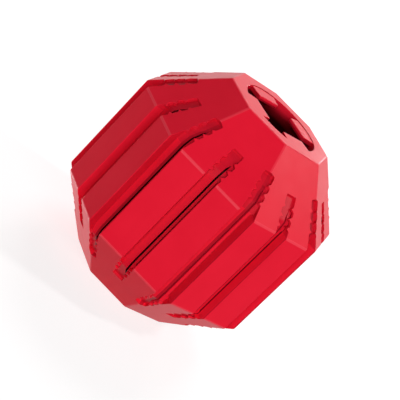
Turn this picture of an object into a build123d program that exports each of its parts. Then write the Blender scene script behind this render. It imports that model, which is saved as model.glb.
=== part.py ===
from build123d import *
from math import cos, hypot, pi, sin, sqrt, tan
import os

# A hollow rubber ball with eight sides. Treats go in and out through a mouth with four springy tabs.
# Millimetres. +Z runs up the ball's axis to the mouth, and the ball stands on its vent end at Z 0.

# Faceted body
side_count = 8
across_flats = 76.0
height = 76.6
band_height = 38.0
end_across_flats = 38.4
ring_round = 1.2
end_round = 0.7

# Hollow, mouth and vent
side_wall = 11.5
end_wall = 11.8
mouth_radius = 14.6
mouth_lip_round = 0.5
vent_radius = 5.0

# Lap where the two moulded halves are bonded
lap_width = 2.4
lap_height = 3.0
bond_gap = 0.05

# Treat grooves, one on each facet and one on each upright edge
facet_groove_width = 4.8
facet_groove_depth = 3.6
facet_groove_run = 13.4
edge_groove_width = 5.2
edge_groove_depth = 4.8
edge_groove_run = 17.2
crease_width = 0.6
crease_depth = 3.7
crease_offset = 0.7

# Toothed ends of the grooves
tooth_count = 3
tooth_run = 0.8
facet_tooth_pitch = 3.2
facet_lobe_width = 5.2
facet_cusp_width = 2.9
edge_tooth_pitch = 3.3
edge_lobe_width = 4.6
edge_cusp_width = 2.6
stop_length = 4.0
stop_width = 4.3
stop_end_width = 4.0
stop_depth = 0.9

# Mouth tabs
tab_count = 4
tab_turn = 6.5
tab_reach = 5.9
tab_root_width = 11.4
tab_tip_width = 9.8
tab_thickness = 1.8
tab_recess = 0.4
tab_corner_round = 0.8
tab_edge_round = 0.5
tab_push_in = 60.0
tab_lift_out = 40.0
relief_margin = 3.0
hinge_gap = 0.12
tab_side_gap = 0.2

# Overrun of every cutter past the surface it cuts
overrun = 4.0

half_height = height / 2
half_band = band_height / 2
apothem = across_flats / 2
end_apothem = end_across_flats / 2
half_facet_angle = pi / side_count
facet_pitch = 360 / side_count
cavity_radius = apothem - side_wall
cavity_half_height = half_height - end_wall
wall_behind_crease = side_wall - facet_groove_depth - crease_depth
lap_inner_radius = cavity_radius + (wall_behind_crease - lap_width) / 2
lap_outer_radius = lap_inner_radius + lap_width
ball_reach = hypot(across_flats, height)

tab_tip_radius = mouth_radius - tab_reach
tab_middle_height = half_height - tab_recess - tab_thickness / 2
hinge_radius = tab_thickness / 2
seat_radius = hinge_radius + hinge_gap
tab_root_chord = sqrt(mouth_radius**2 - (tab_root_width / 2) ** 2)
hinge_place = sqrt(mouth_radius**2 - (tab_root_width / 2 + tab_side_gap) ** 2) - seat_radius


def faceted_half():
    """The upper half of the faceted ball, solid, its middle at the origin."""
    outline = Polyline(
        (-apothem, 0),
        (apothem, 0),
        (apothem, half_band),
        (end_apothem, half_height),
        (-end_apothem, half_height),
        (-apothem, half_band),
        close=True,
    )
    side_view = make_face(outline)
    corners = side_view.vertices().group_by(Axis.Y)
    side_view = fillet(corners[1], ring_round)
    end_corners = [v for v in side_view.vertices() if v.Y > half_height - end_round / 2]
    side_view = fillet(end_corners, end_round)
    slab = extrude(Plane.XZ * side_view, amount=apothem + overrun, both=True)
    reach = apothem + overrun
    half_side = reach * tan(half_facet_angle)
    plan = make_face(Polyline((0, 0), (reach, -half_side), (reach, half_side), close=True))
    wedge = slab & extrude(plan, amount=half_height + overrun)
    half = wedge
    for step in range(1, side_count):
        half += Rot(Z=step * facet_pitch) * wedge
    return half


def toothed_outline(stop_start, width, pitch, lobe, cusp):
    """Right-hand edge of a groove on the sloped band, from the ring up to the last cusp."""
    points = [(width / 2, 0)]
    for step in reversed(range(tooth_count)):
        place = stop_start - step * pitch
        points.append((lobe / 2, place - tooth_run))
        points.append((cusp / 2, place))
        if step > 0:
            points.append((lobe / 2, place + tooth_run))
    return points


def mirrored_face(right_side):
    """A face that is alike on both sides of its middle line."""
    left_side = [(-x, y) for x, y in reversed(right_side)]
    return make_face(Polyline(*right_side, *left_side, close=True))


def upright_slot(floor_radius, outer_radius, width, offset, top):
    """A straight cutter parallel to the ball's axis, from the middle up."""
    return Pos(floor_radius, offset, 0) * Box(
        outer_radius - floor_radius, width, top, align=(Align.MIN, Align.CENTER, Align.MIN)
    )


def groove_cutter(ring_radius, end_radius, run, depth, width, pitch, lobe, cusp, band_fall, slope_fall):
    """Upper half of one groove, facing +X: a deep channel with a crease, whose floor ramps up past the
    ring between toothed edges to a shallow stop. The falls say how far the surface drops beside its middle."""
    rise = half_height - half_band
    inset = ring_radius - end_radius
    slope_length = hypot(rise, inset)
    out, up = rise / slope_length, inset / slope_length
    slope = Plane(origin=(ring_radius, 0, half_band), x_dir=(0, 1, 0), z_dir=(rise, 0, inset))
    outer_radius = ring_radius + overrun
    floor_radius = ring_radius - band_fall * width / 2 - depth
    stop_start = run - stop_length
    sunk = stop_depth + slope_fall * stop_width / 2

    ramp_end = (ring_radius - up * stop_start - out * sunk, half_band + out * stop_start - up * sunk)
    clear_end = (ramp_end[0] + out * (sunk + overrun), ramp_end[1] + up * (sunk + overrun))
    side_view = make_face(
        Polyline(
            (floor_radius, 0),
            (floor_radius, half_band),
            ramp_end,
            clear_end,
            (outer_radius, half_band),
            (outer_radius, 0),
            close=True,
        )
    )
    room = extrude(Plane.XZ * side_view, amount=width + lobe, both=True)

    teeth = slope * mirrored_face(toothed_outline(stop_start, width, pitch, lobe, cusp))
    stop = slope * mirrored_face(
        [(cusp / 2, stop_start), (stop_width / 2, stop_start + tooth_run), (stop_end_width / 2, run)]
    )
    groove = extrude(teeth, amount=ring_radius - floor_radius, both=True)
    groove += upright_slot(floor_radius, outer_radius, width, 0, half_band)
    cutter = groove & room
    cutter += extrude(stop, amount=-sunk) + extrude(stop, amount=overrun)
    cutter += upright_slot(floor_radius - crease_depth, ring_radius, crease_width, crease_offset, ramp_end[1])
    return cutter


def grooved_half():
    """The upper half with a groove on each facet and on each edge between facets."""
    half = faceted_half()
    slope_length = hypot(half_height - half_band, apothem - end_apothem)
    facet_out = (half_height - half_band) / slope_length
    facet_up = (apothem - end_apothem) / slope_length
    edge_normal = hypot(facet_out * cos(half_facet_angle), facet_up)
    corner_stretch = 1 / cos(half_facet_angle)

    facet_groove = groove_cutter(
        apothem,
        end_apothem,
        facet_groove_run,
        facet_groove_depth,
        facet_groove_width,
        facet_tooth_pitch,
        facet_lobe_width,
        facet_cusp_width,
        band_fall=0,
        slope_fall=0,
    )
    edge_groove = groove_cutter(
        apothem * corner_stretch,
        end_apothem * corner_stretch,
        edge_groove_run,
        edge_groove_depth,
        edge_groove_width,
        edge_tooth_pitch,
        edge_lobe_width,
        edge_cusp_width,
        band_fall=tan(half_facet_angle),
        slope_fall=facet_out * sin(half_facet_angle) / edge_normal,
    )
    cutters = []
    for step in range(side_count):
        facet_angle = step * facet_pitch
        cutters.append(Rot(Z=facet_angle) * facet_groove)
        cutters.append(Rot(Z=facet_angle + facet_pitch / 2) * edge_groove)
    return half - cutters


def cavity():
    """The hollow for the treats, turned about the ball's axis."""
    side = ThreePointArc((0, -cavity_half_height), (cavity_radius, 0), (0, cavity_half_height))
    closing = Line((0, cavity_half_height), (0, -cavity_half_height))
    return revolve(Plane.XZ * make_face([side, closing]), Axis.Z)


def tab_plan():
    """Outline of a tab and its root seen from above, from its tip out into the mouth's wall."""
    taper = (tab_root_width - tab_tip_width) / 2 / (tab_root_chord - tab_tip_radius)
    wall_end = mouth_radius + overrun / 2
    wall_half_width = tab_tip_width / 2 + taper * (wall_end - tab_tip_radius)
    outline = Polyline(
        (tab_tip_radius, -tab_tip_width / 2),
        (wall_end, -wall_half_width),
        (wall_end, wall_half_width),
        (tab_tip_radius, tab_tip_width / 2),
        close=True,
    )
    face = make_face(outline)
    return fillet(face.vertices().group_by(Axis.X)[0], tab_corner_round)


def tab_block():
    """The whole thickness of a tab and its root, in the place of the first tab before its turn."""
    plan = Plane.XY.offset(tab_middle_height) * tab_plan()
    return extrude(plan, amount=tab_thickness / 2, both=True)


def hinge_cylinder(radius):
    """A round bar along the line where a tab bends."""
    return Pos(hinge_place, 0, tab_middle_height) * Rot(X=90) * Cylinder(radius, tab_root_width + overrun)


def bent_clearance(angle):
    """Room for the near end of a tab bent by an angle, a positive one into the ball."""
    seat_across = 2 * seat_radius
    room = Box(
        seat_across, tab_root_width + overrun, seat_across, align=(Align.MAX, Align.CENTER, Align.CENTER)
    )
    return Pos(hinge_place, 0, tab_middle_height) * Rot(Y=-angle) * room


def tab_root():
    """The fixed root of a tab, with the round seat that its moving part bends in."""
    kept = Pos(hinge_place, 0, tab_middle_height) * Box(
        overrun, tab_root_width + overrun, tab_thickness, align=(Align.MIN, Align.CENTER, Align.CENTER)
    )
    root = tab_block() & kept
    root -= hinge_cylinder(seat_radius)
    root -= bent_clearance(tab_push_in + relief_margin)
    root -= bent_clearance(-tab_lift_out - relief_margin)
    return root


def tab():
    """The moving part of a tab, with a half-round edge where it bends and rounded tip edges."""
    top = tab_middle_height + tab_thickness / 2
    bottom = tab_middle_height - tab_thickness / 2
    far_edge = hinge_place + hinge_radius
    flat_edges = Polyline(
        (hinge_place, top),
        (tab_tip_radius, top),
        (tab_tip_radius, bottom),
        (hinge_place, bottom),
    )
    round_edge = ThreePointArc((hinge_place, bottom), (far_edge, tab_middle_height), (hinge_place, top))
    side_view = make_face([flat_edges, round_edge])
    side_view = fillet(side_view.vertices().group_by(Axis.X)[0], tab_edge_round)
    swept = extrude(Plane.XZ * side_view, amount=tab_root_width, both=True)
    return swept & tab_block()


def lap_ring(gap):
    """The ring by which one half seats in the other, grown by a gap."""
    outer = Cylinder(lap_outer_radius + gap, lap_height + gap, align=(Align.CENTER, Align.CENTER, Align.MIN))
    inner = Cylinder(lap_inner_radius - gap, lap_height + gap, align=(Align.CENTER, Align.CENTER, Align.MIN))
    return outer - inner


def mouth_half(form, tab_angles):
    """The upper half: hollow, with the mouth, the tab roots and the seat for the lap."""
    bore = Cylinder(mouth_radius, half_height + overrun, align=(Align.CENTER, Align.CENTER, Align.MIN))
    half = form - cavity() - bore
    rim = half.edges().filter_by(GeomType.CIRCLE).group_by(Axis.Z)[-1]
    half = fillet(rim, mouth_lip_round)
    root = tab_root()
    for angle in tab_angles:
        half += Rot(Z=angle) * root
    return half - lap_ring(bond_gap)


def vent_half(form):
    """The lower half: hollow, with the vent hole and the standing lap ring."""
    bore = Cylinder(vent_radius, half_height + overrun, align=(Align.CENTER, Align.CENTER, Align.MAX))
    half = mirror(form, Plane.XY) - cavity() - bore
    return half + lap_ring(0)


tab_angles = [tab_turn + step * 360 / tab_count for step in range(tab_count)]
form = grooved_half()
nodes = {"mouth_half": mouth_half(form, tab_angles), "vent_half": vent_half(form)}
for number, angle in enumerate(tab_angles, start=1):
    nodes[f"mouth_tab_{number}"] = Rot(Z=angle) * tab()

os.makedirs("parts", exist_ok=True)
for name, shape in nodes.items():
    placed = Pos(0, 0, half_height) * shape
    export_step(placed, f"parts/{name}.step")

print("hinge at radius", round(hinge_place, 4), "and height", round(half_height + tab_middle_height, 4))
print("vent wall length", round(half_height - sqrt(cavity_radius**2 - vent_radius**2), 4))
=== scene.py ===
"""Looks of a hollow, eight-sided rubber treat ball: a grooved shell and the four springy tabs in its mouth."""
import logging
from dataclasses import dataclass, field
from enum import Enum
from math import atan2, cos, hypot, pi, radians, sin, sqrt, tan
from typing import List, Sequence, Tuple

import bmesh
import bpy
from mathutils import Euler, Matrix, Vector
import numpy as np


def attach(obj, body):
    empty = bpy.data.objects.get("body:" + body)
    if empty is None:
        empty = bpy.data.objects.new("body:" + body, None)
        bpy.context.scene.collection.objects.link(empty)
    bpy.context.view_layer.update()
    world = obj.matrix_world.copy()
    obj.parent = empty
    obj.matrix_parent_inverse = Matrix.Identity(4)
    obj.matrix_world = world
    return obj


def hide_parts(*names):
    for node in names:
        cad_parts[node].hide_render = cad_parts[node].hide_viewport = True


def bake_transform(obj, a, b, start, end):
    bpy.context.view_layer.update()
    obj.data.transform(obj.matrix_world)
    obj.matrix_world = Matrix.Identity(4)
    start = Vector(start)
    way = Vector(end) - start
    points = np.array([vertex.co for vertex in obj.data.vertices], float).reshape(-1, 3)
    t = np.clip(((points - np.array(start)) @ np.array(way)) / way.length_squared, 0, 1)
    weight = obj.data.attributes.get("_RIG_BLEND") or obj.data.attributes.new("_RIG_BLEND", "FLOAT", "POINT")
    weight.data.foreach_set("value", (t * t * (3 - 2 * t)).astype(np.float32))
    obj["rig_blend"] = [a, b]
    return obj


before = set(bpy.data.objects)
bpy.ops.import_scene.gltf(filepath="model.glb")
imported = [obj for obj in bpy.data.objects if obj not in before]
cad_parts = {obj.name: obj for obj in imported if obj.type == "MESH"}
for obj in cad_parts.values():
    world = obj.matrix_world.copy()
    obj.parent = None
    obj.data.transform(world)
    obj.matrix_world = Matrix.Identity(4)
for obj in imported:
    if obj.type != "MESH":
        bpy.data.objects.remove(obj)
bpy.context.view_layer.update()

Point = Tuple[float, float]
Spot = Tuple[float, float, float]
Colour = Tuple[float, float, float, float]
Row = List[bmesh.types.BMVert]

MM = 0.001
WHITE: Colour = (1.0, 1.0, 1.0, 1.0)
log = logging.getLogger("treat_ball")


class End(Enum):
    """The two ends of the ball. The value is the sign of the end's height above the ball's middle."""

    MOUTH = 1
    VENT = -1


class GroovePlace(Enum):
    """Where a treat groove runs: down the middle of a facet or down an upright edge."""

    FACET = "facet"
    EDGE = "edge"


class Mark(Enum):
    """Shares kept on the mesh for the finish: how deep a point lies, for painted shade that deepens inwards; painted
    shade on a face; and a painted highlight on a rounded edge.
    """

    SUNK = "sunk"
    PAINTED_SHADE = "painted_shade"
    PAINTED_HIGHLIGHT = "painted_highlight"


class Lamp(Enum):
    """The soft lamps round the ball."""

    KEY = "key"
    RIGHT = "right side"
    TOP = "top"
    LEFT = "left rim"
    BACK = "back"
    RIM = "right rim"


def smooth_step(value: float) -> float:
    """A share from 0 to 1 that starts and ends gently."""
    held = min(1.0, max(0.0, value))
    return held * held * (3 - 2 * held)


def spread(start: float, end: float, count: int) -> List[float]:
    """Evenly spaced places.

    Args:
        start: The first place.
        end: The last place.
        count: How many steps lie between them.

    Returns:
        The places, both ends included.
    """
    return [start + (end - start) * step / count for step in range(count + 1)]


def rounded_off(back: float, radius: float) -> float:
    """How far a rounded edge has fallen away.

    Args:
        back: Distance back from the end.
        radius: The edge's radius.

    Returns:
        The fall, which is 0 past the rounding.
    """
    if back >= radius:
        return 0.0
    return radius - sqrt(max(0.0, radius ** 2 - (radius - back) ** 2))


def seen_ray(tree: bpy.types.NodeTree) -> bpy.types.NodeSocket:
    """A socket that is 1 for what the camera sees straight, in gloss or through glass.

    Args:
        tree: The node tree to add to.

    Returns:
        The socket to link from.
    """
    path = tree.nodes.new("ShaderNodeLightPath")
    first, second = tree.nodes.new("ShaderNodeMath"), tree.nodes.new("ShaderNodeMath")
    first.operation = second.operation = "MAXIMUM"
    tree.links.new(path.outputs["Is Camera Ray"], first.inputs[0])
    tree.links.new(path.outputs["Is Glossy Ray"], first.inputs[1])
    tree.links.new(first.outputs[0], second.inputs[0])
    tree.links.new(path.outputs["Is Transmission Ray"], second.inputs[1])
    return second.outputs[0]


def finished(name: str, mesh: bmesh.types.BMesh, smooth_below: float = 35.0) -> bpy.types.Object:
    """Turns a mesh into a shown object with smooth rounded edges and flat faces.

    Args:
        name: The piece's name.
        mesh: Its mesh, which is used up.
        smooth_below: Faces that meet at less than this angle, in degrees, shade as one.

    Returns:
        The object, linked to the scene.
    """
    data = bpy.data.meshes.new(name)
    mesh.to_mesh(data)
    mesh.free()
    data.polygons.foreach_set("use_smooth", [True] * len(data.polygons))
    data.set_sharp_from_angle(angle=radians(smooth_below))
    piece = bpy.data.objects.new(name, data)
    bpy.context.scene.collection.objects.link(piece)
    even = piece.modifiers.new("even shading", "WEIGHTED_NORMAL")
    even.keep_sharp = True
    return piece


@dataclass(frozen=True)
class MouldedRubber:
    """The red rubber of the whole ball: satin, cloudy and finely grained, with a painted highlight on rounded edges,
    painted shade in creases and painted shade that deepens inside.
    """

    name: str = "moulded red rubber"
    colour: Colour = (0.91, 0.012, 0.037, 1.0)
    cloudy: Colour = (0.87, 0.01, 0.033, 1.0)
    cloud_edges: Point = (0.3, 0.7)
    cloud_scale: float = 90.0
    cloud_detail: float = 3.0
    # Painted highlight: a paler red laid on the ring and the rounded edges, where light would catch them.
    painted_highlight: Colour = (0.95, 0.055, 0.085, 1.0)
    # Painted shade: faces are multiplied towards this dark grey by their share, in slits, grooves and the mouth.
    painted_shade_tint: Colour = (0.08, 0.08, 0.08, 1.0)
    # Painted shade: the red darkens with depth, nearly to black deep in the mouth and the hollow.
    painted_depth_shade: Tuple[Point, ...] = ((0.0, 1.0), (0.16, 0.93), (0.36, 0.26), (0.58, 0.025))
    ior: float = 1.5
    sheen_level: float = 0.04
    gloss_low: float = 0.26
    gloss_high: float = 0.34
    wear_scale: float = 260.0
    wear_detail: float = 4.0
    grain_size: float = 0.35 * MM
    grain_detail: float = 2.0
    grain_strength: float = 0.03
    grain_depth: float = 0.1 * MM

    def material(self) -> bpy.types.Material:
        """Builds the finish as shader nodes.

        Returns:
            The material, ready to assign.
        """
        material = bpy.data.materials.new(self.name)
        material.use_nodes = True
        tree = material.node_tree
        shader = tree.nodes["Principled BSDF"]
        shader.inputs["IOR"].default_value = self.ior
        shader.inputs["Specular IOR Level"].default_value = self.sheen_level
        tree.links.new(self._shaded_red(tree), shader.inputs["Base Color"])
        tree.links.new(self._worn_gloss(tree), shader.inputs["Roughness"])
        tree.links.new(self._fine_grain(tree), shader.inputs["Normal"])
        return material

    def _cloud(self, tree: bpy.types.NodeTree, scale: float, detail: float) -> bpy.types.NodeSocket:
        """A cloudy pattern that stays on the piece.

        Args:
            tree: The node tree to add to.
            scale: How fine the pattern is.
            detail: How many finer patterns are laid over it.

        Returns:
            The pattern's share from 0 to 1.
        """
        place, noise = tree.nodes.new("ShaderNodeTexCoord"), tree.nodes.new("ShaderNodeTexNoise")
        noise.inputs["Scale"].default_value = scale
        noise.inputs["Detail"].default_value = detail
        tree.links.new(place.outputs["Object"], noise.inputs["Vector"])
        return noise.outputs["Fac"]

    def _kept_share(self, tree: bpy.types.NodeTree, mark: Mark) -> bpy.types.NodeSocket:
        """Reads a share that is kept on the mesh.

        Args:
            tree: The node tree to add to.
            mark: Which share.

        Returns:
            The share from 0 to 1.
        """
        share = tree.nodes.new("ShaderNodeAttribute")
        share.attribute_name = mark.value
        return share.outputs["Fac"]

    def _mixed(self, tree: bpy.types.NodeTree, blend: str, under: bpy.types.NodeSocket) -> bpy.types.Node:
        """Adds a node that lays a colour over another.

        Args:
            tree: The node tree to add to.
            blend: Blender's name for the way of mixing.
            under: The colour below.

        Returns:
            The node, whose share and upper colour are still to set.
        """
        mix = tree.nodes.new("ShaderNodeMix")
        mix.data_type, mix.blend_type = "RGBA", blend
        tree.links.new(under, mix.inputs["A"])
        return mix

    def _shaded_red(self, tree: bpy.types.NodeTree) -> bpy.types.NodeSocket:
        """The cloudy red, with a painted highlight on rounded edges, painted shade in creases and painted shade that
        deepens with depth.

        Args:
            tree: The node tree to add to.

        Returns:
            The colour.
        """
        links = tree.links
        tint = tree.nodes.new("ShaderNodeValToRGB")
        for stop, position, colour in zip(tint.color_ramp.elements, self.cloud_edges, (self.cloudy, self.colour)):
            stop.position, stop.color = position, colour
        links.new(self._cloud(tree, self.cloud_scale, self.cloud_detail), tint.inputs["Fac"])

        painted_highlight = self._mixed(tree, "MIX", tint.outputs["Color"])
        links.new(self._kept_share(tree, Mark.PAINTED_HIGHLIGHT), painted_highlight.inputs["Factor"])
        painted_highlight.inputs["B"].default_value = self.painted_highlight
        painted_shade = self._mixed(tree, "MULTIPLY", painted_highlight.outputs["Result"])
        links.new(self._kept_share(tree, Mark.PAINTED_SHADE), painted_shade.inputs["Factor"])
        painted_shade.inputs["B"].default_value = self.painted_shade_tint

        # Painted shade that deepens with a point's depth inside the ball.
        depth_shade_ramp = tree.nodes.new("ShaderNodeValToRGB")
        ramp = depth_shade_ramp.color_ramp
        while len(ramp.elements) < len(self.painted_depth_shade):
            ramp.elements.new(0.5)
        for stop, (position, share) in zip(ramp.elements, self.painted_depth_shade):
            stop.position, stop.color = position, (share, share, share, 1.0)
        links.new(self._kept_share(tree, Mark.SUNK), depth_shade_ramp.inputs["Fac"])
        deep = self._mixed(tree, "MULTIPLY", painted_shade.outputs["Result"])
        deep.inputs["Factor"].default_value = 1.0
        links.new(depth_shade_ramp.outputs["Color"], deep.inputs["B"])
        return deep.outputs["Result"]

    def _worn_gloss(self, tree: bpy.types.NodeTree) -> bpy.types.NodeSocket:
        """A satin gloss that wanders a little.

        Args:
            tree: The node tree to add to.

        Returns:
            The roughness.
        """
        gloss = tree.nodes.new("ShaderNodeMapRange")
        gloss.inputs["To Min"].default_value = self.gloss_low
        gloss.inputs["To Max"].default_value = self.gloss_high
        tree.links.new(self._cloud(tree, self.wear_scale, self.wear_detail), gloss.inputs["Value"])
        return gloss.outputs["Result"]

    def _fine_grain(self, tree: bpy.types.NodeTree) -> bpy.types.NodeSocket:
        """The very fine grain of the mould.

        Args:
            tree: The node tree to add to.

        Returns:
            The bumped normal.
        """
        bump = tree.nodes.new("ShaderNodeBump")
        bump.inputs["Strength"].default_value = self.grain_strength
        bump.inputs["Distance"].default_value = self.grain_depth
        tree.links.new(self._cloud(tree, 1.0 / self.grain_size, self.grain_detail), bump.inputs["Height"])
        return bump.outputs["Normal"]


@dataclass(frozen=True)
class PaleFloor:
    """The floor's plain matt finish, which shows nearly white and keeps the ball's shadow."""

    name: str = "pale floor"
    colour: Colour = (0.35, 0.35, 0.35, 1.0)
    glow: float = 0.78

    def material(self) -> bpy.types.Material:
        """Builds the finish as shader nodes.

        Returns:
            The material, ready to assign.
        """
        material = bpy.data.materials.new(self.name)
        material.use_nodes = True
        tree = material.node_tree
        nodes, links = tree.nodes, tree.links
        nodes.clear()
        plain, glow = nodes.new("ShaderNodeBsdfDiffuse"), nodes.new("ShaderNodeEmission")
        plain.inputs["Color"].default_value = self.colour
        glow.inputs["Color"].default_value = WHITE
        glow.inputs["Strength"].default_value = self.glow
        both, mix = nodes.new("ShaderNodeAddShader"), nodes.new("ShaderNodeMixShader")
        out = nodes.new("ShaderNodeOutputMaterial")
        links.new(plain.outputs["BSDF"], both.inputs[0])
        links.new(glow.outputs["Emission"], both.inputs[1])
        links.new(seen_ray(tree), mix.inputs["Fac"])
        links.new(plain.outputs["BSDF"], mix.inputs[1])
        links.new(both.outputs["Shader"], mix.inputs[2])
        links.new(mix.outputs["Shader"], out.inputs["Surface"])
        return material


@dataclass
class FacetedForm:
    """The eight-sided body: an upright band between two sloped bands, in millimetres from the ball's middle."""

    sides: int = 8
    apothem: float = 38.0
    half_band: float = 19.0
    end_apothem: float = 19.2
    half_height: float = 38.3
    ring_round: float = 1.2
    band_steps: int = 8
    ring_steps: int = 5

    def __post_init__(self) -> None:
        """Works out the slope and the rounding between the bands."""
        rise, inset = self.half_height - self.half_band, self.apothem - self.end_apothem
        self.slope_length = hypot(rise, inset)
        self.turn = atan2(inset, rise)
        self.tangent = self.ring_round * tan(self.turn / 2)
        self.ring_start = self.half_band - self.tangent
        self.ring_end = self.half_band + self.tangent
        self.half_side = pi / self.sides

    def meridian(self, run: float) -> Point:
        """The middle line of a facet.

        Args:
            run: Distance along the facet from the ball's middle, over the ring and up the slope.

        Returns:
            Distance from the axis and height.
        """
        if run <= self.ring_start:
            return self.apothem, run
        if run < self.ring_end:
            angle = self.turn * (run - self.ring_start) / (2 * self.tangent)
            centre = self.apothem - self.ring_round
            return centre + self.ring_round * cos(angle), self.ring_start + self.ring_round * sin(angle)
        up = run - self.half_band
        return self.apothem - up * sin(self.turn), self.half_band + up * cos(self.turn)

    def band_rows(self) -> List[float]:
        """Rows that every groove and panel shares.

        Returns:
            Places along a facet, from the middle to just past the ring.
        """
        rows = spread(0.0, self.ring_start, self.band_steps)
        return rows + spread(self.ring_start, self.ring_end, self.ring_steps)[1:]


@dataclass
class TreatGroove:
    """One kind of treat groove: deep and straight on the band, toothed on the slope, with a slit in its floor.

    Past the ring the floor runs nearly straight on until it comes up to the shallow toothed end, and then follows
    the slope. The right wall of the straight part leans in a little.
    """

    place: GroovePlace
    form: FacetedForm
    half_width: float
    floor_radius: float
    cusps: Tuple[float, ...]
    lobe: float
    cusp: float
    end: float
    # Toothed end on the slope
    stop_half: float = 2.1
    stop_sink: float = 0.9
    stop_corner: float = 0.5
    stop_narrowing: float = 0.25
    tooth_run: float = 0.8
    tooth_lip: float = 0.12
    point: float = 0.0
    # Walls and floor on the band, and the floor's run past the ring
    band_lip: float = 0.3
    foot: float = 0.3
    lean: float = 0.2
    turn_start: float = 19.0
    run_in: float = 0.22
    # Slit in the floor
    crease_right: float = 1.06
    crease_width: float = 0.62
    crease_drift: float = 0.2
    crease_drift_run: float = 9.0
    crease_depth: float = 4.0
    crease_bed: float = 0.58
    crease_edge: float = 0.3
    crease_fade: float = 3.0
    # Rows of the mesh: their spacing, and places past the end with the share of the depth reached there
    row_spacing: float = 0.4
    foot_row: Point = (0.3, 0.92)
    lip_rows: Tuple[Point, ...] = ((0.0, 0.6), (0.13, 0.28), (0.45, 0.07), (1.0, 0.0))

    def __post_init__(self) -> None:
        """Works out the slope that the groove follows and where its floor turns."""
        form = self.form
        self.stretch = 1 / cos(form.half_side) if self.place is GroovePlace.EDGE else 1.0
        self.fall = tan(form.half_side) if self.place is GroovePlace.EDGE else 0.0
        rise = form.half_height - form.half_band
        inset = (form.apothem - form.end_apothem) * self.stretch
        length = hypot(rise, inset)
        self.out, self.up = rise / length, inset / length
        self.longer = length / form.slope_length
        self.sunk = self.stop_sink + self.stop_half * self.fall * self.out
        self.stop_start = self.cusps[-1]
        depth = form.apothem * self.stretch - self.floor_radius
        low = form.half_band - self.up * self.sunk - self.turn_start
        along = (depth - self.out * self.sunk + self.run_in * low) / (self.up - self.run_in * self.out)
        self.shallow_start = form.half_band + along / self.longer

    def surface(self, run: float, side: float) -> Point:
        """Where the uncut ball lies beside the groove's middle line.

        Args:
            run: Distance along the facet's middle line.
            side: Distance beside the groove's middle line.

        Returns:
            Distance from the axis and height.
        """
        radius, height = self.form.meridian(run)
        return radius * self.stretch - abs(side) * self.fall, height

    def floor(self, run: float) -> Point:
        """The groove's floor below a place on its middle line.

        Args:
            run: Distance along the facet's middle line.

        Returns:
            Distance from the axis and height.
        """
        form = self.form
        if run <= self.turn_start:
            return self.floor_radius, run
        along = (max(run, self.shallow_start) - form.half_band) * self.longer
        radius = form.apothem * self.stretch - self.up * along - self.out * self.sunk
        height = form.half_band + self.out * along - self.up * self.sunk
        share = min(1.0, (run - self.turn_start) / (self.shallow_start - self.turn_start))
        return (
            self.floor_radius + share * (radius - self.floor_radius),
            self.turn_start + share * (height - self.turn_start),
        )

    def corners(self) -> List[Point]:
        """The toothed edge of the groove.

        Returns:
            Corner points, each a distance along the facet and a half width.
        """
        points = [(0.0, self.half_width), (self.form.half_band, self.half_width)]
        for cusp in self.cusps:
            after = self.stop_half if cusp == self.stop_start else self.lobe
            points += [(cusp - self.tooth_run, self.lobe), (cusp, self.cusp), (cusp + self.tooth_run, after)]
        points.append((self.end - self.stop_corner, self.stop_half))
        points.append((self.end + self.tooth_lip, self.stop_half - self.stop_narrowing))
        return points

    def half_at(self, run: float) -> float:
        """Half the groove's width between its walls.

        Args:
            run: Distance along the facet's middle line.

        Returns:
            The half width.
        """
        points = self.corners()
        for (left, low), (right, high) in zip(points, points[1:]):
            if left <= run <= right:
                return low + (high - low) * (run - left) / (right - left)
        return points[-1][1]

    def rows(self) -> List[Point]:
        """Rows up the groove, close together on the slope and closer at its end.

        Returns:
            A place along the facet and the share of the depth reached there, for each row.
        """
        band = self.form.band_rows()
        foot_start = self.end - self.foot
        stops = [band[-1]] + [run for run, _ in self.corners() if band[-1] < run < foot_start] + [foot_start]
        rows = [(run, 1.0) for run in band]
        for low, high in zip(stops, stops[1:]):
            count = max(1, round((high - low) / self.row_spacing))
            rows += [(run, 1.0) for run in spread(low, high, count)[1:]]
        rows.append((self.end - self.foot * self.foot_row[0], self.foot_row[1]))
        rows += [(self.end + self.tooth_lip * along, share) for along, share in self.lip_rows]
        return rows


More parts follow.
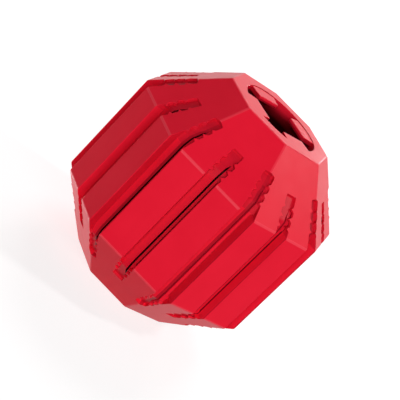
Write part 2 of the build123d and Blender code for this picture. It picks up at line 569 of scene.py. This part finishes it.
@dataclass
class GrooveRow:
    """One row of points across a treat groove: two walls with rounded lips and feet, and a floor with its slit."""

    groove: TreatGroove
    run: float
    share: float
    lip_angles: Tuple[float, ...] = (0.0, 30.0, 60.0, 90.0)
    foot_round: float = 0.3
    toothed_foot: float = 0.5
    sliver: float = 0.01

    def __post_init__(self) -> None:
        """Works out the width, the floor and the roundings at this place along the groove."""
        groove, form = self.groove, self.groove.form
        self.half = groove.half_at(self.run)
        self.floor = groove.floor(self.run)
        self.over = smooth_step((self.run - form.half_band + form.tangent) / (2 * form.tangent))
        self.lip = groove.band_lip + self.over * (groove.tooth_lip - groove.band_lip)
        self.foot = groove.foot * (1 - self.toothed_foot * self.over)

    def _reach(self, top: Point) -> float:
        """Distance from a point of the uncut ball to the floor."""
        return hypot(self.floor[0] - top[0], self.floor[1] - top[1])

    def _below(self, side: float, depth: float) -> Spot:
        """A point at a depth below the uncut ball, towards the floor.

        Args:
            side: Distance beside the groove's middle line.
            depth: Distance below the uncut ball.

        Returns:
            Distance beside the middle line, distance from the axis and height.
        """
        groove, floor = self.groove, self.floor
        blunt = groove.point * smooth_step((self.run - groove.stop_start) / (groove.end - groove.stop_start))
        top = groove.surface(self.run - blunt * min(1.0, abs(side) / groove.stop_half), side)
        reach = self._reach(top)
        part = min(depth, reach * self.share) / reach
        return side, top[0] + (floor[0] - top[0]) * part, top[1] + (floor[1] - top[1]) * part

    def _above_floor(self, side: float, lifted: float) -> Spot:
        """A point at a height above the floor.

        Args:
            side: Distance beside the groove's middle line.
            lifted: Distance above the floor.

        Returns:
            Distance beside the middle line, distance from the axis and height.
        """
        reach = self._reach(self.groove.surface(self.run, side))
        return self._below(side, max(reach - lifted, self.lip))

    def _wall(self, sign: int) -> List[Spot]:
        """One side of the groove, from its lip to the foot of its wall.

        Args:
            sign: -1 for the left wall, 1 for the right one, which leans.

        Returns:
            The points in order.
        """
        half, lip, foot = self.half, self.lip, self.foot
        turns = [radians(angle) for angle in self.lip_angles]
        points = [self._below(sign * (half + lip * (1 - sin(turn))), lip * (1 - cos(turn))) for turn in turns]
        reach = self._reach(self.groove.surface(self.run, half))
        lean = self.groove.lean * (1 - self.over) if sign > 0 else 0.0
        rounded = foot * self.foot_round
        points.append(self._below(sign * (half - lean / 2), (lip + max(reach - foot, lip)) / 2))
        points.append(self._above_floor(sign * (half - lean), foot))
        points.append(self._above_floor(sign * (half - lean - rounded), rounded))
        points.append(self._above_floor(sign * (half - lean - foot), 0.0))
        return points

    def _creased_floor(self) -> List[Spot]:
        """The floor between the walls, with its slit, which fades to slivers at the groove's end.

        Returns:
            The points in order.
        """
        groove, run = self.groove, self.run
        taper = smooth_step((groove.stop_start - run) / groove.crease_fade)
        drift = smooth_step((run - groove.form.half_band) / groove.crease_drift_run)
        right = groove.crease_right + groove.crease_drift * drift
        left = right - max(4 * self.sliver, groove.crease_width * taper)
        bed = self.floor[0] - max(2 * self.sliver, groove.crease_depth * taper)
        bed_end = left + max(2 * self.sliver, groove.crease_bed * taper)
        sunk = [(left + self.sliver, bed, self.floor[1]), (bed_end, bed, self.floor[1])]
        if run >= groove.stop_start:
            sunk = [self._above_floor(left + step * self.sliver, 0.0) for step in (1, 2)]
        before = self._above_floor((left - groove.crease_edge) * taper, 0.0)
        return [before, self._above_floor(left, 0.0), *sunk, self._above_floor(right, 0.0)]

    def points(self) -> List[Spot]:
        """The whole row from left to right."""
        return self._wall(-1) + self._creased_floor() + self._wall(1)[::-1]


@dataclass(frozen=True)
class Mouth:
    """The mouth's radius in millimetres, and how many tabs it has and where the first one is, in degrees."""

    radius: float = 14.6
    tab_count: int = 4
    tab_turn: float = 6.5

    @property
    def tab_pitch(self) -> float:
        """Degrees from one tab to the next."""
        return 360.0 / self.tab_count


@dataclass
class BallShell:
    """The ball's thick rubber shell: facets, sixteen treat grooves, mouth, vent and the hollow inside.

    A groove's painted shade darkens each strip of faces across it by a share, from left to right, in place of the
    shade in its slit, on its walls and on its floor.
    """

    form: FacetedForm = field(default_factory=FacetedForm)
    mouth: Mouth = Mouth()
    vent_radius: float = 5.0
    hollow_radius: float = 26.5
    hole_round: float = 0.15
    edge_round: float = 0.45
    # How finely the mesh is cut
    edge_segments: int = 3
    parts_per_side: int = 12
    lip_steps: int = 4
    bore_steps: int = 4
    hollow_steps: int = 9
    middle_column: int = 8
    lip_columns: int = 3
    merge_gap: float = 0.001
    # Painted shade, painted highlight and the depths for the painted depth shade, kept for the finish
    facet_painted_shade: Tuple[float, ...] = (
        0.0, 0.0, 0.0, 0.03, 0.03, 0.3, 0.3, 0.17, 0.17, 1.0, 1.0, 0.15, 0.1, 0.9, 0.9, 0.0, 0.0, 0.35, 0.35, 0.0,
    )
    edge_painted_shade: Tuple[float, ...] = (
        0.0, 0.0, 0.0, 0.2, 0.2, 0.3, 0.3, 0.0, 0.5, 1.0, 1.0, 0.15, 0.0, 0.3, 0.3, 0.02, 0.02, 0.35, 0.35, 0.0,
    )
    toothed_painted_shade: float = 0.24
    stop_painted_shade: float = 0.38
    tab_half_span: float = 22.5
    tab_line_painted_shade: float = 0.55
    # Share of painted highlight on the bevelled edges.
    edge_highlight_share: float = 0.6
    # Depths that the painted depth shade is measured against, in the holes and in the grooves.
    hole_full_depth: float = 10.0
    groove_full_depth: float = 32.0

    def __post_init__(self) -> None:
        """Sets up the two kinds of groove, with their places measured along a facet's middle line."""
        ring = self.form.half_band
        self.facet_groove = TreatGroove(
            GroovePlace.FACET, self.form, half_width=2.4, floor_radius=34.6,
            cusps=(ring + 3.0, ring + 6.2, ring + 9.4), lobe=2.6, cusp=1.45, end=ring + 13.2,
        )
        self.edge_groove = TreatGroove(
            GroovePlace.EDGE, self.form, half_width=2.9, floor_radius=36.2,
            cusps=(ring + 5.95, ring + 9.1, ring + 12.25), lobe=2.4, cusp=1.4, end=ring + 16.3,
            band_lip=0.4, lean=0.8, point=0.9,
            crease_right=0.95, crease_depth=1.9, crease_bed=0.05, crease_edge=0.9,
        )

    def build(self) -> bpy.types.Object:
        """Makes the whole shell as one closed mesh.

        Returns:
            The shell, in the part's frame.
        """
        mesh = bmesh.new()
        mesh.faces.layers.float.new(Mark.PAINTED_SHADE.value)
        painted_highlight = mesh.faces.layers.float.new(Mark.PAINTED_HIGHLIGHT.value)
        crisp: List[bmesh.types.BMEdge] = []
        for end in End:
            crisp += self._half(mesh, end)
        rounded = bmesh.ops.bevel(
            mesh, geom=crisp, offset=self.edge_round, offset_type="OFFSET", segments=self.edge_segments, profile=0.5,
            affect="EDGES", clamp_overlap=True,
        )
        # The bevel blends the marks of the faces beside it, so the painted highlight is set again, and the new
        # rounded faces get a painted highlight of their own.
        for face in mesh.faces:
            face[painted_highlight] = 1.0 if face[painted_highlight] > 0.99 else 0.0
        for face in rounded["faces"]:
            face[painted_highlight] = self.edge_highlight_share
        self._mark_depth(mesh)
        middle = [vertex for vertex in mesh.verts if abs(vertex.co.z) < self.merge_gap / 10]
        bmesh.ops.remove_doubles(mesh, verts=middle, dist=self.merge_gap)
        bmesh.ops.recalc_face_normals(mesh, faces=mesh.faces[:])
        lift = Matrix.Translation((0, 0, self.form.half_height))
        bmesh.ops.transform(mesh, matrix=Matrix.Scale(MM, 4) @ lift, verts=mesh.verts[:])
        return finished("ball_shell", mesh)

    def _mark_depth(self, mesh: bmesh.types.BMesh) -> None:
        """Keeps on each point how far it lies inside the uncut ball, for the painted shade that darkens the red
        deeper in the holes, the hollow and the grooves.

        Args:
            mesh: The shell in millimetres from the ball's middle.
        """
        form, pitch = self.form, 2 * self.form.half_side
        layer = mesh.verts.layers.float.new(Mark.SUNK.value)
        across = (form.half_height - form.half_band) / form.slope_length
        along = (form.apothem - form.end_apothem) / form.slope_length
        for vertex in mesh.verts:
            spot = vertex.co
            angle = round(atan2(spot.y, spot.x) / pitch) * pitch
            band = form.apothem - (spot.x * cos(angle) + spot.y * sin(angle))
            slope = band * across - (abs(spot.z) - form.half_band) * along
            inside = max(0.0, min(band, slope, form.half_height - abs(spot.z)))
            in_hole = hypot(spot.x, spot.y) < form.end_apothem
            vertex[layer] = min(1.0, inside / (self.hole_full_depth if in_hole else self.groove_full_depth))

    def _half(self, mesh: bmesh.types.BMesh, end: End) -> List[bmesh.types.BMEdge]:
        """Adds the half of the shell on one side of the ball's middle.

        Args:
            mesh: The mesh to add to, in millimetres from the ball's middle.
            end: Which half to add.

        Returns:
            The edges to round off: those between sloped facets and round the end face.
        """
        form, pitch = self.form, 2 * self.form.half_side
        facets = [self._groove(mesh, end, self.facet_groove, side * pitch) for side in range(form.sides)]
        edges = [self._groove(mesh, end, self.edge_groove, (side + 0.5) * pitch) for side in range(form.sides)]
        corners = []
        for side in range(form.sides):
            angle, radius = (side + 0.5) * pitch, form.end_apothem / cos(form.half_side)
            corners.append(mesh.verts.new((radius * cos(angle), radius * sin(angle), end.value * form.half_height)))
        crisp = []
        for side in range(form.sides):
            groove, before, after = facets[side], edges[side - 1], edges[side]
            self._band_panel(mesh, before, groove)
            self._band_panel(mesh, groove, after)
            self._slope_panel(mesh, (before, groove, after), (corners[side - 1], corners[side]))
            crisp.append(mesh.edges.get((corners[side - 1], corners[side])))
            crisp.append(mesh.edges.get((corners[side], after[-1][self.middle_column])))
        self._inside(mesh, end, corners)
        return crisp

    def _groove(self, mesh: bmesh.types.BMesh, end: End, groove: TreatGroove, angle: float) -> List[Row]:
        """Adds half of one groove, with the painted shade of its faces.

        Args:
            mesh: The mesh to add to.
            end: Which half of the ball it is on.
            groove: The kind of groove.
            angle: Its place about the axis, in radians.

        Returns:
            Its points, row by row from the ball's middle.
        """
        painted_shade = mesh.faces.layers.float[Mark.PAINTED_SHADE.value]
        shades = self.edge_painted_shade if groove.place is GroovePlace.EDGE else self.facet_painted_shade
        across, outward = Vector((-sin(angle), cos(angle), 0)), Vector((cos(angle), sin(angle), 0))
        runs, rows = [], []
        for run, share in groove.rows():
            runs.append(run)
            rows.append([
                mesh.verts.new(across * side + outward * radius + Vector((0, 0, end.value * height)))
                for side, radius, height in GrooveRow(groove, run, share).points()
            ])
        for run, low, high in zip(runs, rows, rows[1:]):
            # Painted shade: the toothed floor at the mouth end is darkened, and held lower past the last cusp.
            toothed = end is End.MOUTH and run > self.form.half_band
            for step, share in enumerate(shades):
                face = mesh.faces.new((low[step], low[step + 1], high[step + 1], high[step]))
                if toothed and self.lip_columns <= step < len(shades) - 1:
                    share = max(share, self.toothed_painted_shade)
                face[painted_shade] = share if run < groove.stop_start else min(share, self.stop_painted_shade)
        return rows

    def _band_panel(self, mesh: bmesh.types.BMesh, left: Sequence[Row], right: Sequence[Row]) -> None:
        """Adds the upright face between two grooves and its turn onto the slope.

        Args:
            mesh: The mesh to add to.
            left: The points of the groove on its left.
            right: The points of the groove on its right.
        """
        painted_highlight = mesh.faces.layers.float[Mark.PAINTED_HIGHLIGHT.value]
        for row, run in enumerate(self.form.band_rows()[:-1]):
            face = mesh.faces.new((left[row][-1], right[row][0], right[row + 1][0], left[row + 1][-1]))
            # Painted highlight on the rounded ring between the band and the slope.
            face[painted_highlight] = 1.0 if run >= self.form.ring_start - self.merge_gap else 0.0

    def _slope_panel(
        self,
        mesh: bmesh.types.BMesh,
        grooves: Tuple[Sequence[Row], Sequence[Row], Sequence[Row]],
        corners: Tuple[bmesh.types.BMVert, bmesh.types.BMVert],
    ) -> None:
        """Adds a sloped facet as one flat face round the groove ends in it.

        Args:
            mesh: The mesh to add to.
            grooves: The points of the edge groove before it, its own groove and the edge groove after it.
            corners: The two corners that it shares with the end face.
        """
        before, groove, after = grooves
        ring = len(self.form.band_rows()) - 1
        outline = [row[-1] for row in before[ring:]]
        outline += before[-1][self.middle_column:-1][::-1]
        outline += corners
        outline += after[-1][1:self.middle_column + 1][::-1]
        outline += [row[0] for row in after[ring:]][::-1]
        outline += [row[-1] for row in groove[ring:]]
        outline += groove[-1][1:-1][::-1]
        outline += [row[0] for row in groove[ring:]][::-1]
        mesh.faces.new(outline)

    def _inside(self, mesh: bmesh.types.BMesh, end: End, corners: Sequence[bmesh.types.BMVert]) -> None:
        """Adds the end face, the hole through it and that half of the hollow.

        Args:
            mesh: The mesh to add to.
            end: Which half to add.
            corners: The corners of the end face, in order about the axis.
        """
        form, pitch = self.form, 2 * self.form.half_side
        hole = self.mouth.radius if end is End.MOUTH else self.vent_radius
        meet = sqrt(self.hollow_radius ** 2 - hole ** 2)
        profile = [
            (hole + self.hole_round * (1 - sin(turn)), form.half_height - self.hole_round * (1 - cos(turn)))
            for turn in spread(0.0, pi / 2, self.lip_steps)
        ]
        profile += [(hole, z) for z in spread(form.half_height - self.hole_round, meet, self.bore_steps)[1:]]
        profile += [
            (self.hollow_radius * cos(turn), self.hollow_radius * sin(turn))
            for turn in spread(atan2(meet, hole), 0.0, self.hollow_steps)[1:]
        ]
        count = form.sides * self.parts_per_side
        turns = [(step / self.parts_per_side + 0.5) * pitch for step in range(count)]
        rings = [
            [mesh.verts.new((radius * cos(turn), radius * sin(turn), end.value * height)) for turn in turns]
            for radius, height in profile
        ]
        painted_shade = mesh.faces.layers.float[Mark.PAINTED_SHADE.value]
        for ring, (outer, inner) in enumerate(zip(rings, rings[1:])):
            for step in range(count):
                after = (step + 1) % count
                face = mesh.faces.new((outer[step], outer[after], inner[after], inner[step]))
                # Painted shade on the mouth's lip behind each tab's root.
                if end is End.MOUTH and ring <= self.lip_steps and self._beside_tab(step, count):
                    face[painted_shade] = self.tab_line_painted_shade
        for side in range(form.sides):
            start = side * self.parts_per_side
            arc = [rings[0][(start + step) % count] for step in range(self.parts_per_side + 1)]
            mesh.faces.new([corners[side], corners[(side + 1) % form.sides], *arc[::-1]])

    def _beside_tab(self, step: int, count: int) -> bool:
        """Whether a part of the mouth's wall lies behind a tab.

        Args:
            step: The part's number about the axis, from the first corner of the end face.
            count: How many parts there are.

        Returns:
            True where a tab's root is.
        """
        turn = (step + 0.5) / count * 360 + 180 / self.form.sides - self.mouth.tab_turn
        half_pitch = self.mouth.tab_pitch / 2
        return abs((turn + half_pitch) % self.mouth.tab_pitch - half_pitch) < self.tab_half_span

    def dress(self, shell: bpy.types.Object, rubber: bpy.types.Material) -> None:
        """Gives the shell its rubber and its place on the part.

        Args:
            shell: The shell that build made.
            rubber: The finish of the whole ball.
        """
        shell.data.materials.append(rubber)
        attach(shell, "ball")
        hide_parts("mouth_half", "vent_half")


@dataclass
class MouthTab:
    """One springy tab across the mouth, moulded into the wall at its root, in millimetres."""

    number: int
    mouth: Mouth = Mouth()
    reach: float = 5.9
    root_half: float = 5.7
    tip_half: float = 4.9
    thickness: float = 1.5
    top: float = 76.4
    corner: float = 0.7
    edge: float = 0.22
    nose: float = 0.6
    rooted: float = 1.5
    hinge_radius: float = 12.33
    bend_half: float = 1.1
    # Painted shade on the tab's sides, underside and tip face.
    side_painted_shade: float = 0.5
    # How finely the mesh is cut
    tip_rows: int = 6
    root_rows: int = 18
    corner_points: int = 6
    fullest_round: float = 0.95

    def __post_init__(self) -> None:
        """Works out the tab's place about the ball's axis, in radians, and where its tip lies."""
        self.angle = radians(self.mouth.tab_turn + self.mouth.tab_pitch * (self.number - 1))
        self.tip = self.mouth.radius - self.reach

    def build(self) -> bpy.types.Object:
        """Makes the tab and its root as one closed mesh.

        Returns:
            The tab, in the part's frame.
        """
        mesh = bmesh.new()
        painted_shade = mesh.faces.layers.float.new(Mark.PAINTED_SHADE.value)
        places = [self.tip + self.corner * (1 - cos(turn)) for turn in spread(0.0, pi / 2, self.tip_rows)]
        places += spread(self.tip + self.corner, self.mouth.radius + self.rooted, self.root_rows)[1:]
        rings = [[mesh.verts.new(spot) for spot in self._section(place)] for place in places]
        for low, high in zip(rings, rings[1:]):
            for step in range(len(low)):
                after = (step + 1) % len(low)
                face = mesh.faces.new((low[step], low[after], high[after], high[step]))
                # Painted shade on the sides, underside and tip face; the top and its upper rounded edges stay
                # unshaded.
                face[painted_shade] = 0.0 if step < 2 * self.corner_points - 1 else self.side_painted_shade
        mesh.faces.new(rings[0])[painted_shade] = self.side_painted_shade
        mesh.faces.new(rings[-1])
        bmesh.ops.recalc_face_normals(mesh, faces=mesh.faces[:])
        middle = Matrix.Translation((0, 0, self.top - self.thickness / 2))
        turned = Matrix.Rotation(self.angle, 4, "Z")
        bmesh.ops.transform(mesh, matrix=Matrix.Scale(MM, 4) @ turned @ middle, verts=mesh.verts[:])
        return finished(f"tab_{self.number}_flap", mesh)

    def _section(self, place: float) -> List[Spot]:
        """A rounded section across the tab, narrower and thinner where its tip is rounded.

        Args:
            place: Distance from the ball's axis.

        Returns:
            The points round it.
        """
        chord = sqrt(self.mouth.radius ** 2 - self.root_half ** 2)
        taper = (self.root_half - self.tip_half) / (chord - self.tip)
        back = place - self.tip
        lowered = rounded_off(back, self.nose) / 2
        half = self.tip_half + taper * back - rounded_off(back, self.corner)
        thin = self.thickness / 2 - rounded_off(back, self.edge) - lowered
        round_ = min(self.edge, thin * self.fullest_round)
        points = []
        for quarter, (across, up) in enumerate(((1, 1), (-1, 1), (-1, -1), (1, -1))):
            for angle in spread(quarter * pi / 2, (quarter + 1) * pi / 2, self.corner_points - 1):
                y = across * (half - round_) + round_ * cos(angle)
                points.append((place, y, up * (thin - round_) + round_ * sin(angle) - lowered))
        return points

    def dress(self, flap: bpy.types.Object, rubber: bpy.types.Material) -> None:
        """Gives the tab its rubber and lets it bend at its root.

        Args:
            flap: The tab that build made.
            rubber: The finish of the whole ball.
        """
        flap.data.materials.append(rubber)
        outward = Vector((cos(self.angle), sin(self.angle), 0))
        height = Vector((0, 0, self.top - self.thickness / 2))
        start = (outward * (self.hinge_radius + self.bend_half) + height) * MM
        end = (outward * (self.hinge_radius - self.bend_half) + height) * MM
        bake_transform(flap, "ball", f"tab_{self.number}", start=tuple(start), end=tuple(end))
        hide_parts(f"mouth_tab_{self.number}")


@dataclass(frozen=True)
class SoftLamp:
    """A broad far-off lamp: its power, its width in degrees and the direction it stands in."""

    lamp: Lamp
    power: float
    width: float
    towards: Spot


@dataclass
class Studio:
    """A pale floor, a white surround, soft lamps and the camera.

    Lamp directions are measured to the right, up and towards the camera.
    """

    lens: float = 121.831
    sensor: float = 36.0
    clip: Point = (0.01, 20.0)
    eye: Spot = (0.313666, -0.281809, 0.181284)
    tilt: Spot = (64.3771, -41.7560, 65.7677)
    surround_front: float = 0.03
    surround_back: float = 0.08
    surround_turn: Point = (-0.4, 0.5)
    lamps: Tuple[SoftLamp, ...] = (
        SoftLamp(Lamp.KEY, 2.42, 65.0, (0.09, -0.18, 0.82)),
        SoftLamp(Lamp.RIGHT, 0.85, 6.0, (0.99, 0.09, 0.0)),
        SoftLamp(Lamp.TOP, 1.45, 30.0, (0.58, 0.68, -0.45)),
        SoftLamp(Lamp.LEFT, 2.35, 25.0, (-0.62, 0.16, -0.77)),
        SoftLamp(Lamp.BACK, 0.32, 50.0, (0.3, 0.27, -0.91)),
        SoftLamp(Lamp.RIM, 0.34, 4.0, (0.46, 0.29, -0.84)),
    )
    floor_finish: PaleFloor = PaleFloor()
    floor_half: float = 3.0
    floor_parts: int = 8

    def build(self) -> None:
        """Sets up everything round the ball."""
        self._camera()
        self._surround()
        self._lamps()
        self._floor()
        bpy.context.scene.view_settings.view_transform = "Standard"

    def _facing(self) -> Matrix:
        """The turn from the camera's right, up and back to the part's frame."""
        return Euler([radians(angle) for angle in self.tilt]).to_matrix()

    def _camera(self) -> None:
        """Places the camera at the photograph's viewing angle."""
        camera = bpy.data.cameras.new("camera")
        camera.lens, camera.sensor_width = self.lens, self.sensor
        camera.clip_start, camera.clip_end = self.clip
        holder = bpy.data.objects.new("camera", camera)
        holder.location = self.eye
        holder.rotation_euler = [radians(angle) for angle in self.tilt]
        bpy.context.scene.collection.objects.link(holder)
        bpy.context.scene.camera = holder

    def _surround(self) -> None:
        """Makes a surround that shows white and lights the ball only softly, more from behind it."""
        world = bpy.data.worlds.new("surround")
        world.use_nodes = True
        tree = world.node_tree
        nodes, links = tree.nodes, tree.links
        nodes.clear()
        soft, white = nodes.new("ShaderNodeBackground"), nodes.new("ShaderNodeBackground")
        soft.inputs["Color"].default_value = WHITE
        place, along = nodes.new("ShaderNodeTexCoord"), nodes.new("ShaderNodeVectorMath")
        along.operation = "DOT_PRODUCT"
        along.inputs[1].default_value = self._facing() @ Vector((0, 0, -1))
        links.new(place.outputs["Generated"], along.inputs[0])
        shade = nodes.new("ShaderNodeMapRange")
        shade.inputs["From Min"].default_value, shade.inputs["From Max"].default_value = self.surround_turn
        shade.inputs["To Min"].default_value = self.surround_front
        shade.inputs["To Max"].default_value = self.surround_back
        links.new(along.outputs["Value"], shade.inputs["Value"])
        links.new(shade.outputs["Result"], soft.inputs["Strength"])
        white.inputs["Color"].default_value = WHITE
        white.inputs["Strength"].default_value = 1.0
        mix, out = nodes.new("ShaderNodeMixShader"), nodes.new("ShaderNodeOutputWorld")
        links.new(seen_ray(tree), mix.inputs["Fac"])
        links.new(soft.outputs["Background"], mix.inputs[1])
        links.new(white.outputs["Background"], mix.inputs[2])
        links.new(mix.outputs["Shader"], out.inputs["Surface"])
        bpy.context.scene.world = world

    def _lamps(self) -> None:
        """Hangs the soft lamps: a broad one beside the camera, one above, one at each side and two behind."""
        for soft in self.lamps:
            lamp = bpy.data.lights.new(soft.lamp.value, "SUN")
            lamp.energy = soft.power
            lamp.angle = radians(soft.width)
            holder = bpy.data.objects.new(soft.lamp.value, lamp)
            towards = self._facing() @ Vector(soft.towards)
            holder.rotation_euler = towards.to_track_quat("Z", "Y").to_euler()
            bpy.context.scene.collection.objects.link(holder)

    def _floor(self) -> None:
        """Lays a plain pale floor that keeps the ball's shadow."""
        mesh = bmesh.new()
        bmesh.ops.create_grid(mesh, x_segments=self.floor_parts, y_segments=self.floor_parts, size=self.floor_half)
        data = bpy.data.meshes.new("floor")
        mesh.to_mesh(data)
        mesh.free()
        floor = bpy.data.objects.new("floor", data)
        # The left rim lamp hangs lower than the floor, which lets its light through.
        floor.visible_shadow = False
        bpy.context.scene.collection.objects.link(floor)
        data.materials.append(self.floor_finish.material())


def main() -> None:
    """Builds the ball, piece by piece, and the studio round it."""
    logging.basicConfig(level=logging.INFO, format="%(name)s: %(message)s")
    rubber, mouth = MouldedRubber().material(), Mouth()
    tabs = [MouthTab(number, mouth) for number in range(1, mouth.tab_count + 1)]
    for piece in (BallShell(mouth=mouth), *tabs):
        shown = piece.build()
        piece.dress(shown, rubber)
        log.info("%s: %d faces", shown.name, len(shown.data.polygons))
    Studio().build()
    bpy.context.view_layer.update()


if __name__ == "__main__":
    main()
